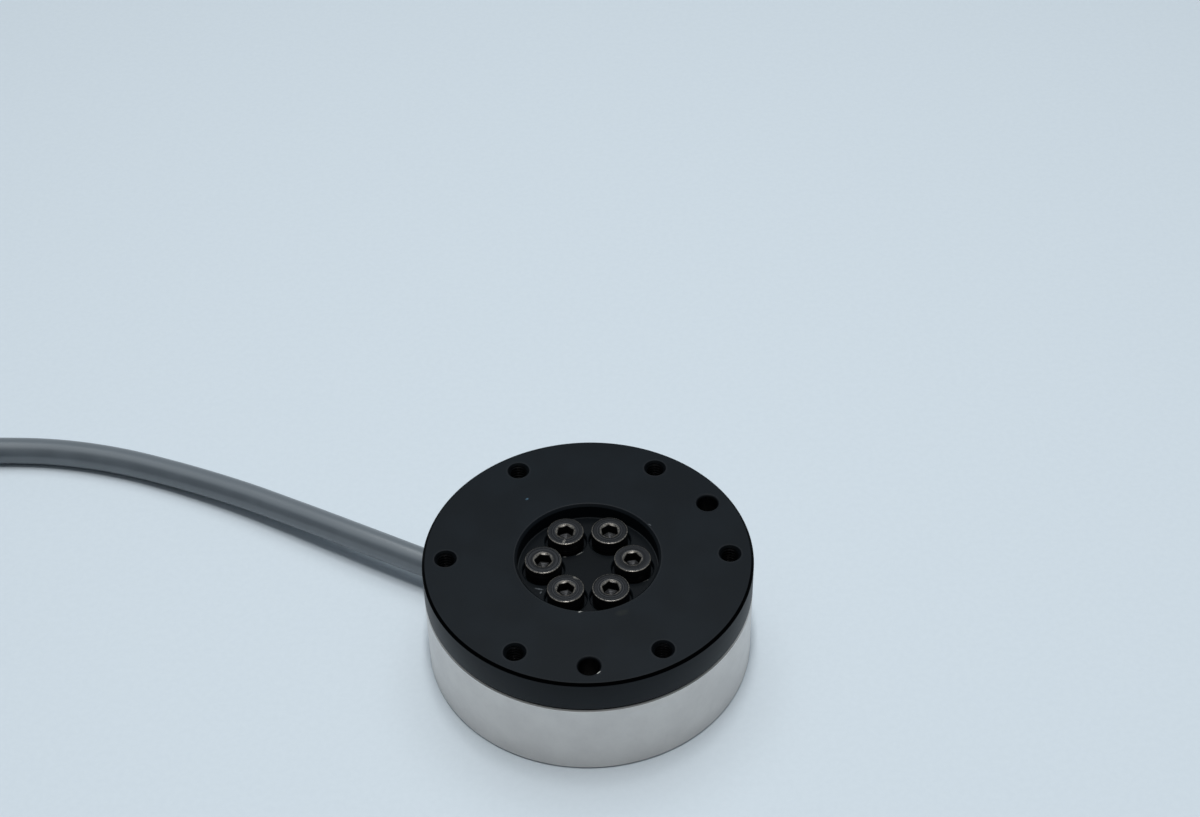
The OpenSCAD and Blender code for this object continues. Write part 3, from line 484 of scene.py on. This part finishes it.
class Net:
    """short calls for building a material's node tree; x, y and z are object coordinates in mm"""

    def __init__(self, name):
        self.material = bpy.data.materials.new(name)
        self.material.use_nodes = True
        self.tree = self.material.node_tree
        self.tree.nodes.clear()
        self.shader = self.add("ShaderNodeBsdfPrincipled")
        out = self.add("ShaderNodeOutputMaterial")
        self.link(self.shader.outputs["BSDF"], out.inputs["Surface"])
        place = self.split(self.add("ShaderNodeTexCoord").outputs["Object"])
        self.x, self.y, self.z = [self.product(place[axis], 1 / MM) for axis in "XYZ"]
        self.height = None

    def add(self, kind, **settings):
        n = self.tree.nodes.new(kind)
        for k, v in settings.items():
            setattr(n, k, v)
        return n

    def link(self, a, b):
        self.tree.links.new(a, b)

    def put(self, value, socket):
        if hasattr(value, "links"):
            self.link(value, socket)
        elif isinstance(value, (tuple, list)) and len(value) == 3 and socket.type == "RGBA":
            socket.default_value = (*value, 1.0)
        else:
            socket.default_value = value

    def split(self, vector):
        n = self.add("ShaderNodeSeparateXYZ")
        self.link(vector, n.inputs[0])
        return n.outputs

    def attribute(self, name):
        n = self.add("ShaderNodeAttribute", attribute_name=name, attribute_type="GEOMETRY")
        return n.outputs["Fac"]

    def math(self, op, a, b=0.0, c=0.0, clamp=False):
        n = self.add("ShaderNodeMath", operation=op, use_clamp=clamp)
        for i, v in enumerate((a, b, c)):
            self.put(v, n.inputs[i])
        return n.outputs[0]

    def product(self, a, b, clamp=False):
        return self.math("MULTIPLY", a, b, clamp=clamp)

    def minus(self, a, b):
        return self.math("SUBTRACT", a, b)

    def larger(self, a, b):
        return self.math("MAXIMUM", a, b)

    def length(self, dx, dy):
        return self.math("SQRT", self.math("ADD", self.product(dx, dx), self.product(dy, dy)))

    def radius(self, cx=0.0, cy=0.0):
        return self.length(self.minus(self.x, cx), self.minus(self.y, cy))

    def angle(self):
        return self.math("ARCTAN2", self.y, self.x)

    def rising(self, value, low, high, most=1.0):
        """0 up to low and most from high on, with a soft step between"""
        n = self.add("ShaderNodeMapRange", interpolation_type="SMOOTHSTEP")
        for i, v in enumerate((value, low, high, 0.0, most)):
            self.put(v, n.inputs[i])
        return n.outputs[0]

    def falling(self, value, low, high):
        return self.rising(value, high, low)

    def vector(self, x, y, z):
        n = self.add("ShaderNodeCombineXYZ")
        for i, v in enumerate((x, y, z)):
            self.put(v, n.inputs[i])
        return n.outputs[0]

    def place(self):
        return self.vector(self.x, self.y, self.z)

    def noise(self, vector, scale, detail=3.0, rough=0.55):
        n = self.add("ShaderNodeTexNoise")
        self.link(vector, n.inputs["Vector"])
        n.inputs["Scale"].default_value = scale
        n.inputs["Detail"].default_value = detail
        n.inputs["Roughness"].default_value = rough
        return n.outputs[0]

    def mix(self, factor, a, b):
        """colour a, going over to colour b"""
        n = self.add("ShaderNodeMix", data_type="RGBA")
        for i, v in ((0, factor), (6, a), (7, b)):
            self.put(v, n.inputs[i])
        return n.outputs[2]

    def blend(self, factor, a, b):
        """number a, going over to number b"""
        n = self.add("ShaderNodeMix", data_type="FLOAT")
        for i, v in ((0, factor), (2, a), (3, b)):
            self.put(v, n.inputs[i])
        return n.outputs[0]

    def bump(self, height, depth_mm, strength=1.0):
        n = self.add("ShaderNodeBump")
        n.inputs["Strength"].default_value = strength
        n.inputs["Distance"].default_value = depth_mm * MM
        self.link(height, n.inputs["Height"])
        if self.height is not None:
            self.link(self.height, n.inputs["Normal"])
        self.height = n.outputs[0]
        self.link(n.outputs[0], self.shader.inputs["Normal"])

    def set(self, **values):
        names = {"color": "Base Color", "rough": "Roughness", "metal": "Metallic",
                 "spec": "Specular IOR Level"}
        for k, v in values.items():
            self.put(v, self.shader.inputs[names[k]])


def paint(node, net):
    """gives a CAD node its material"""
    data = nodes[node].data
    data.materials.clear()
    data.materials.append(net.material)


def dress(obj, net):
    obj.data.materials.append(net.material)


def near_spot(net, x, y, z, size, stretch=1.0, turn=0.0):
    """1 in the middle of a small mark on or near a level face, 0 outside it"""
    c, s = math.cos(math.radians(turn)), math.sin(math.radians(turn))
    dx, dy = net.minus(net.x, x), net.minus(net.y, y)
    along = net.math("ADD", net.product(dx, c / stretch), net.product(dy, s / stretch))
    across = net.minus(net.product(dy, c), net.product(dx, s))
    level = net.falling(net.math("ABSOLUTE", net.minus(net.z, z)), 0.3, 0.45)
    return net.product(level, net.falling(net.length(along, across), size * 0.4, size))


# ---------------------------------------------------------------- black anodised flange and cover

FLANGE_BLACK = (0.0047, 0.0070, 0.0096)
PAINTED_GLINT, DUST, SCRATCHED = (0.55, 0.55, 0.52), (0.10, 0.11, 0.12), (0.20, 0.20, 0.19)
BLUE_FLECK, FINGER_MARK = (0.06, 0.12, 0.17), (0.014, 0.016, 0.016)
CHAMFER_Z = SENSOR_H - 0.15
# colour, place, size, how much longer than wide, direction: flecks, dust, scratches and two painted
# glints
flange_marks_and_glints = (
    (BLUE_FLECK, -11.71, 15.46, SENSOR_H, 0.28, 1.6, 40),
    (FINGER_MARK, 6.2, -14.4, SENSOR_H, 0.9, 1.8, 20),
    # painted highlights: glints on the recess mouth's chamfer and on a dowel bore's chamfer, in a bare
    # metal grey
    (PAINTED_GLINT, -1.38, -13.75, CHAMFER_Z, 0.3, 2.6, 40), (PAINTED_GLINT, 1.68, -28.6, CHAMFER_Z, 0.2, 3.0, 40),
    (DUST, -9.33, -5.0, RECESS_Z, 0.22, 5.0, -15), (DUST, -9.0, -5.9, RECESS_Z, 0.2, 2.0, 60),
    (SCRATCHED, -1.56, 3.95, RECESS_Z, 0.12, 9.0, 36), (SCRATCHED, 10.6, -3.5, RECESS_Z, 0.12, 10.0, 25),
    (SCRATCHED, -4.4, 3.2, RECESS_Z, 0.2, 2.0, 10), (DUST, 12.0, 7.9, SENSOR_H, 0.18, 2.5, -40))


def painted_chamfer_shade(net, r):
    """1 on the chamfers round top and bottom, where painted shade makes them very dark"""
    top = net.product(net.rising(r, SENSOR_R - 0.56, SENSOR_R - 0.48),
                      net.rising(net.z, SENSOR_H - 0.56, SENSOR_H - 0.48))
    low = net.product(net.rising(r, SENSOR_R - 0.22, SENSOR_R - 0.16),
                      net.falling(net.z, FLANGE_Z + 0.16, FLANGE_Z + 0.3))
    return net.larger(top, low)


def hole_distance(net, r):
    """distance from the middle of the nearest tapped hole or dowel bore"""
    fold = net.math("WRAP", net.angle(), math.pi / BOLT_COUNT, -math.pi / BOLT_COUNT)
    d = net.length(net.minus(net.product(r, net.math("COSINE", fold)), BOLT_R),
                   net.product(r, net.math("SINE", fold)))
    for x, y in dowels:
        d = net.math("MINIMUM", d, net.radius(x, y))
    return d


def hollow_painted_light(net, r, tint, edge):
    """painted shade deeper in the recess and nearly black in the holes, and painted highlights as thin
    pale lines round their mouths and at the recess floor's edge
    """
    black, pale, corner_highlight_grey = (0, 0, 0), (0.05, 0.052, 0.055), (0.05, 0.055, 0.06)
    # painted shade in the recess and the holes; painted highlights at the recess mouth, round the hole
    # mouths and at the recess floor's edge
    recess = net.product(net.falling(r, RECESS_R + 0.4, RECESS_R + 0.5),
                         net.falling(net.z, SENSOR_H - 0.12, SENSOR_H - 0.04))
    lip_highlight = net.product(net.rising(r, RECESS_R + 0.44, RECESS_R + 0.5),
                      net.falling(r, RECESS_R + 0.58, RECESS_R + 0.7))
    d = hole_distance(net, r)
    hole = net.product(net.falling(d, SINK_R - 0.02, SINK_R + 0.05),
                       net.falling(net.z, SENSOR_H - 0.08, SENSOR_H - 0.02))
    ring = net.product(net.rising(d, SINK_R - 0.1, SINK_R + 0.02),
                       net.falling(d, SINK_R + 0.1, SINK_R + 0.35))
    corner_highlight = net.product(net.falling(net.math("ABSOLUTE", net.minus(r, RECESS_R - 0.06)), 0.05, 0.16),
                         net.falling(net.z, RECESS_Z + 0.1, RECESS_Z + 0.25))
    for mask, share, colour in ((lip_highlight, 0.2, pale), (recess, 0.45, black), (hole, 0.7, black),
                                (ring, 0.12, pale), (corner_highlight, 0.35, corner_highlight_grey)):
        tint = net.mix(net.product(mask, share), tint, colour)
    # the painted shade also lowers the specular in the holes and the recess
    return tint, net.larger(edge, net.larger(net.product(hole, 0.6), net.product(recess, 0.25)))


def anodised(name, spec, rough, marks=(), painted_hollows=False):
    """turned and anodised aluminium; the hollows switch adds painted shade and painted highlights in the
    flange's recess and holes
    """
    net = Net(name)
    r = net.radius()
    lines = net.noise(net.vector(net.product(r, 9.0), net.product(net.z, 9.0), 0.0), 1.0, 2.0)
    patches = net.noise(net.place(), 0.09, 2.0)
    grain = net.noise(net.place(), 9.0, 2.0, 0.7)
    spots = net.noise(net.place(), 1.7, 3.0, 0.65)
    tint = net.mix(net.rising(patches, 0.35, 0.65), FLANGE_BLACK, [c * 1.25 for c in FLANGE_BLACK])
    tint = net.mix(net.rising(spots, 0.62, 0.78, 0.35), tint, [c * 2.0 for c in FLANGE_BLACK])
    # painted shade: the chamfers are mixed to near black
    shade = painted_chamfer_shade(net, r)
    tint = net.mix(shade, tint, [c * 0.05 for c in FLANGE_BLACK])
    if painted_hollows:
        tint, shade = hollow_painted_light(net, r, tint, shade)
    # marks and painted glints are laid into the colour
    for colour, *place in marks:
        fleck_and_glint = net.product(near_spot(net, *place), net.rising(grain, 0.35, 0.55), clamp=True)
        tint = net.mix(fleck_and_glint, tint, colour)
    # painted shade also cuts the specular to a tenth on the chamfers, and in the recess and holes
    net.set(color=tint, metal=0.0, spec=net.blend(shade, spec, spec * 0.1),
            rough=net.blend(lines, rough - 0.05, rough + 0.07))
    net.bump(lines, 0.004, 0.35)
    net.bump(grain, 0.004, 0.3)
    return net


dress(flange, anodised("flange_anodised", 0.125, 0.42, flange_marks_and_glints, painted_hollows=True))
paint("base_cover", anodised("cover_anodised", 0.28, 0.45))

# ---------------------------------------------------------------- satin steel body and screws


def tapped_bump(net, places, depth):
    """thread lines on the walls of the drilled holes at the given places"""
    height = 0.0
    for x, y in places:
        near = net.product(net.falling(net.radius(x, y), DRILL_R + 0.05, DRILL_R + 0.2),
                           net.falling(net.z, depth - 0.4, depth))
        turn = net.math("ARCTAN2", net.minus(net.y, y), net.minus(net.x, x))
        wave = net.math("SINE", net.math("ADD", net.product(net.z, 2 * math.pi / THREAD_PITCH), turn))
        height = net.math("ADD", height, net.product(wave, near))
    net.bump(height, 0.15, 1.0)


def body_steel():
    """turned steel with faint clouds, and a painted highlight along its top edge"""
    net = Net("body_turned_steel")
    r = net.radius()
    around_body = net.vector(net.product(net.angle(), 3.0), net.product(net.z, 26.0),
                             net.product(r, 26.0))
    turned = net.noise(around_body, 1.0, 2.0, 0.5)
    cloud = net.noise(net.place(), 0.13, 3.0, 0.6)
    mottle = net.noise(net.place(), 1.1, 4.0, 0.65)
    # painted highlight: the rim at the top edge is lightened toward near white
    rim = net.product(net.rising(net.z, RIM_Z - 0.45, RIM_Z - 0.2),
                      net.rising(r, SENSOR_R - 0.6, SENSOR_R - 0.2))
    tint = net.mix(net.rising(cloud, 0.3, 0.7), (0.565, 0.538, 0.518), (0.615, 0.588, 0.563))
    tint = net.mix(net.rising(mottle, 0.5, 0.75, 0.15), tint, (0.46, 0.445, 0.43))
    tint = net.mix(net.product(rim, 0.8), tint, (0.92, 0.90, 0.86))
    net.set(color=tint, metal=1.0, rough=net.blend(mottle, 0.30, 0.39))
    net.bump(turned, 0.003, 0.35)
    net.bump(mottle, 0.006, 0.2)
    tapped_bump(net, circle_of(BOLT_COUNT, BASE_BOLT_R), BASE_BOLT_DEPTH)
    return net


def screw_steel():
    """dark oxide with turning rings and grit, rubbed bright at the edges and scratched here and there,
    with painted shade down in the socket
    """
    net = Net("socket_screw_steel")
    wear_and_shade = net.attribute("wear_and_shade")
    scratch = net.noise(net.place(), 4.5, 4.0, 0.7)
    grit = net.noise(net.place(), 14.0, 2.0, 0.7)
    turning = net.noise(net.vector(net.product(net.attribute("ring_r"), 5.0), 0.0, 0.0), 1.0, 1.0)
    wear = net.product(wear_and_shade, net.rising(scratch, 0.34, 0.6), clamp=True)
    # painted shade: negative values darken the socket and its drilled cone to near black and make them
    # rougher
    socket_shade = net.product(wear_and_shade, -1.0, clamp=True)
    head_top = SEAT_Z + HEAD_H
    for place in ((-2.37, -4.68, head_top, 0.45, 1.6, -30), (-4.53, 4.71, head_top, 0.35, 2.0, 70),
                  (-1.9, -4.95, head_top, 0.3)):
        wear = net.larger(wear, net.product(near_spot(net, *place), net.rising(grit, 0.45, 0.6)))
    tint = net.mix(net.rising(turning, 0.43, 0.59), (0.0085, 0.0092, 0.0105), (0.046, 0.047, 0.051))
    tint = net.mix(net.rising(grit, 0.64, 0.8, 0.5), tint, (0.13, 0.12, 0.105))
    tint = net.mix(socket_shade, net.mix(wear, tint, (0.42, 0.39, 0.345)), (0.006, 0.006, 0.006))
    net.set(color=tint, metal=net.blend(wear, 0.85, 0.6),
            rough=net.blend(socket_shade, net.blend(wear, 0.36, 0.32), 0.55))
    net.bump(turning, 0.006, 0.5)
    net.bump(grit, 0.004, 0.4)
    return net


paint("sensing_body", body_steel())
dress(screws, screw_steel())

# ---------------------------------------------------------------- cable jacket, ties and connector


def jacket():
    """grey jacket with faint drawing marks along it; its upper side is painted lighter, as light falling
    from above
    """
    net = Net("cable_jacket_grey")
    skin = net.vector(net.product(net.attribute("around_x"), CABLE_R),
                      net.product(net.attribute("around_y"), CABLE_R),
                      net.product(net.attribute("lengthwise"), 2.4))
    drawn = net.noise(skin, 1.3, 2.0, 0.5)
    speck = net.noise(net.place(), 3.2, 3.0, 0.6)
    cloud = net.noise(net.place(), 0.16, 2.0)
    normal_for_top_light = net.split(net.add("ShaderNodeNewGeometry").outputs["Normal"])
    tint = net.mix(net.rising(cloud, 0.3, 0.7), (0.084, 0.101, 0.117), (0.098, 0.117, 0.134))
    tint = net.mix(net.rising(speck, 0.55, 0.8, 0.3), tint, (0.16, 0.18, 0.20))
    # painted light: faces turned upwards are mixed toward a paler grey
    tint = net.mix(net.rising(normal_for_top_light["Z"], 0.74, 0.92, 0.75), tint, (0.150, 0.172, 0.192))
    net.set(color=tint, spec=1.0, rough=net.blend(drawn, 0.27, 0.35))
    net.bump(drawn, 0.03, 0.5)
    net.bump(speck, 0.006, 0.4)
    return net


def moulded(name, color, rough, spec=0.4):
    """rubber or plastic with a fine grain"""
    net = Net(name)
    grain = net.noise(net.place(), 5.0, 3.0, 0.6)
    cloud = net.noise(net.place(), 0.25, 2.0)
    net.set(color=net.mix(net.rising(cloud, 0.3, 0.7), color, [min(c * 1.35, 0.9) for c in color]),
            spec=spec, rough=net.blend(grain, rough - 0.06, rough + 0.08))
    net.bump(grain, 0.006, 0.5)
    return net


def plated(name, color, rough):
    """plated or turned metal"""
    net = Net(name)
    grain = net.noise(net.place(), 6.0, 3.0, 0.6)
    cloud = net.noise(net.place(), 0.5, 3.0)
    net.set(color=net.mix(net.rising(cloud, 0.35, 0.65), color, [c * 0.86 for c in color]),
            metal=1.0, rough=net.blend(grain, rough - 0.05, rough + 0.1))
    net.bump(grain, 0.003, 0.4)
    return net


dress(cable, jacket())
for tie in (tie_a, tie_b):
    dress(tie, moulded("tie_nylon", (0.012, 0.012, 0.013), 0.42))
paint("strain_relief", moulded("relief_rubber", (0.022, 0.023, 0.025), 0.6, 0.3))
paint("dust_seal", moulded("seal_rubber", (0.014, 0.014, 0.015), 0.62, 0.3))
paint("cover_gasket", moulded("gasket_rubber", (0.02, 0.02, 0.02), 0.65, 0.3))
paint("plug_boot", moulded("boot_rubber", (0.018, 0.018, 0.019), 0.58, 0.3))
paint("plug_seal", moulded("oring_rubber", (0.012, 0.012, 0.012), 0.5, 0.35))
paint("plug_insert", moulded("insert_plastic", (0.015, 0.015, 0.016), 0.45))
paint("board_connector", moulded("socket_nylon", (0.66, 0.62, 0.50), 0.45))
paint("lead_plug", moulded("lead_plug_nylon", (0.62, 0.58, 0.47), 0.48))
paint("voltage_regulator", moulded("regulator_epoxy", (0.012, 0.012, 0.012), 0.5))
paint("gland_bush", plated("gland_nickel", (0.56, 0.55, 0.51), 0.24))
paint("cable_ferrule", plated("ferrule_nickel", (0.55, 0.54, 0.51), 0.3))
paint("plug_body", plated("plug_nickel", (0.60, 0.59, 0.55), 0.22))
paint("plug_nut", plated("nut_nickel", (0.60, 0.59, 0.55), 0.2))
paint("plug_pins", plated("pin_gold", (0.86, 0.62, 0.24), 0.18))
paint("board_spacers", plated("spacer_brass", (0.70, 0.52, 0.22), 0.25))
paint("board_screws", plated("board_screw_zinc", (0.58, 0.58, 0.58), 0.3))
paint("cover_screws", plated("cover_screw_oxide", (0.05, 0.047, 0.044), 0.4))

# ---------------------------------------------------------------- electronics, out of sight


def striped(name, low, high, per_mm, color_a, color_b, rough):
    """bars round the sensor's axis: the loops of a foil gauge, a lead's tracks, a ceramic's layers"""
    net = Net(name)
    bars = net.math("SINE", net.product(net.radius(), per_mm))
    grain = net.noise(net.place(), 4.0, 2.0)
    net.set(color=net.mix(net.rising(bars, low, high), color_a, color_b), spec=0.4,
            rough=net.blend(grain, rough, rough + 0.12))
    net.bump(bars, 0.01, 0.4)
    return net


def laminate():
    """green solder resist with tracks under it"""
    net = Net("board_laminate")
    cell = net.add("ShaderNodeTexVoronoi", distance="MANHATTAN", feature="DISTANCE_TO_EDGE")
    net.link(net.place(), cell.inputs["Vector"])
    cell.inputs["Scale"].default_value = 0.45
    tracks = cell.outputs["Distance"]
    weave = net.noise(net.place(), 7.0, 2.0)
    net.set(color=net.mix(net.rising(tracks, 0.05, 0.09), (0.03, 0.17, 0.08), (0.012, 0.09, 0.045)),
            spec=0.5, rough=net.blend(weave, 0.3, 0.42))
    net.bump(tracks, 0.03, 0.3)
    return net


def chip(name, color, cx, cy):
    """moulded epoxy with tinned leads and a pale dot at its first pin, at cx, cy"""
    net = Net(name)
    grain = net.noise(net.place(), 9.0, 3.0, 0.65)
    dot = net.rising(net.radius(cx, cy), 0.32, 0.4)
    above_leads = net.rising(net.z, CHIP_LEAD_Z, CHIP_LEAD_Z + 0.05)
    tone = net.mix(dot, [c * 2.5 for c in color], color)
    net.set(color=net.mix(above_leads, (0.5, 0.5, 0.5), tone), spec=0.35,
            rough=net.blend(grain, 0.45, 0.6))
    net.bump(grain, 0.008, 0.5)
    return net


def wires():
    """one colour for each wire, side by side across the fan"""
    net = Net("wire_insulation")
    side = net.minus(net.product(net.x, math.sin(CABLE_ANGLE)),
                     net.product(net.y, math.cos(CABLE_ANGLE)))
    ramp = net.add("ShaderNodeValToRGB")
    ramp.color_ramp.interpolation = "CONSTANT"
    net.link(net.rising(side, -3.3, 3.3), ramp.inputs[0])
    colour = fill_ramp(ramp, (
        (0.0, (0.6, 0.02, 0.02)), (0.22, (0.01, 0.01, 0.01)), (0.38, (0.02, 0.2, 0.04)),
        (0.5, (0.75, 0.72, 0.65)), (0.64, (0.02, 0.05, 0.4)), (0.8, (0.6, 0.4, 0.02))))
    grain = net.noise(net.place(), 5.0, 2.0)
    net.set(color=colour, rough=net.blend(grain, 0.3, 0.42), spec=0.5)
    net.bump(grain, 0.01, 0.4)
    return net


paint("strain_gauges", striped("gauge_foil", -0.1, 0.3, 18.0,
                               (0.42, 0.20, 0.05), (0.55, 0.36, 0.22), 0.3))
paint("gauge_leads", striped("lead_foil", -0.2, 0.2, 10.0,
                             (0.40, 0.19, 0.05), (0.52, 0.30, 0.12), 0.35))
paint("capacitors", striped("capacitor_ceramic", 0.0, 0.2, 6.5,
                            (0.36, 0.25, 0.14), (0.30, 0.21, 0.12), 0.5))
paint("circuit_board", laminate())
paint("amplifier_chips", chip("amplifier_epoxy", (0.014, 0.014, 0.015), 10.0, 5.8))
paint("converter_chip", chip("converter_epoxy", (0.02, 0.02, 0.022), -7.4, -11.6))
paint("processor_chip", chip("processor_epoxy", (0.011, 0.011, 0.013), -2.2, 2.2))
paint("inner_leads", wires())

# ---------------------------------------------------------------- floor, light and world

FLOOR, FLOOR_Z = 4.0, -0.00005


def floor_paper():
    """pale and nearly even"""
    net = Net("floor_pale")
    paper = net.noise(net.place(), 0.8, 3.0, 0.6)
    net.set(color=net.mix(net.rising(paper, 0.3, 0.7), (0.645, 0.715, 0.775), (0.66, 0.73, 0.79)),
            rough=0.7, spec=0.2)
    return net


floor_mesh = bpy.data.meshes.new("floor")
floor_mesh.from_pydata([(-FLOOR, -FLOOR, 0), (FLOOR, -FLOOR, 0), (FLOOR, FLOOR, 0), (-FLOOR, FLOOR, 0)],
                       [], [(0, 1, 2, 3)])
floor = bpy.data.objects.new("floor", floor_mesh)
floor.location.z = FLOOR_Z
scene.collection.objects.link(floor)
dress(floor, floor_paper())


def room_light(world):
    """pale behind the sensor and dim on the viewer's side; both change with height"""
    world.use_nodes = True
    tree = world.node_tree
    tree.nodes.clear()

    def node(kind, **inputs):
        n = tree.nodes.new(kind)
        for socket, value in inputs.items():
            if hasattr(value, "links"):
                tree.links.new(value, n.inputs[socket])
            else:
                n.inputs[socket].default_value = value
        return n

    split = node("ShaderNodeSeparateXYZ", Vector=node("ShaderNodeTexCoord").outputs["Generated"])
    behind = fill_ramp(node("ShaderNodeValToRGB", Fac=split.outputs["Z"]), (
        (0.0, (0.36, 0.38, 0.40)), (0.67, (0.06, 0.085, 0.11)), (0.82, (0.42, 0.48, 0.53)),
        (1.0, (0.45, 0.49, 0.52))))
    viewer = fill_ramp(node("ShaderNodeValToRGB", Fac=split.outputs["Z"]), (
        (0.0, (0.17, 0.175, 0.18)), (0.55, (0.05, 0.054, 0.058)), (1.0, (0.40, 0.43, 0.45))))
    side = node("ShaderNodeMapRange", Value=split.outputs["Y"])
    side.inputs["From Min"].default_value = -0.35
    side.inputs["From Max"].default_value = 0.35
    sky = node("ShaderNodeMix")
    sky.data_type = "RGBA"
    for value, socket in ((side.outputs[0], 0), (viewer, 6), (behind, 7)):
        tree.links.new(value, sky.inputs[socket])
    back = node("ShaderNodeBackground", Color=sky.outputs[2], Strength=1.0)
    node("ShaderNodeOutputWorld", Surface=back.outputs[0])


scene.world = bpy.data.worlds.new("world")
room_light(scene.world)


def area(name, place, size, size_y, watts, color):
    """a rectangular lamp that faces the sensor"""
    data = bpy.data.lights.new(name, "AREA")
    data.shape = "RECTANGLE"
    data.size, data.size_y = size, size_y
    data.energy = watts
    data.color = color
    obj = bpy.data.objects.new(name, data)
    scene.collection.objects.link(obj)
    obj.location = place
    obj.rotation_euler = Vector(place).to_track_quat("Z", "Y").to_euler()


area("window", (0.0, -0.17, 0.90), 0.08, 0.12, 2.3, (1.0, 1.0, 0.99))
area("overhead", (0.0, 0.04, 0.92), 0.08, 0.24, 2.35, (0.98, 1.0, 1.0))
area("back_panel", (0.0, 0.33, 0.86), 0.6, 0.44, 1.75, (0.97, 1.0, 1.0))
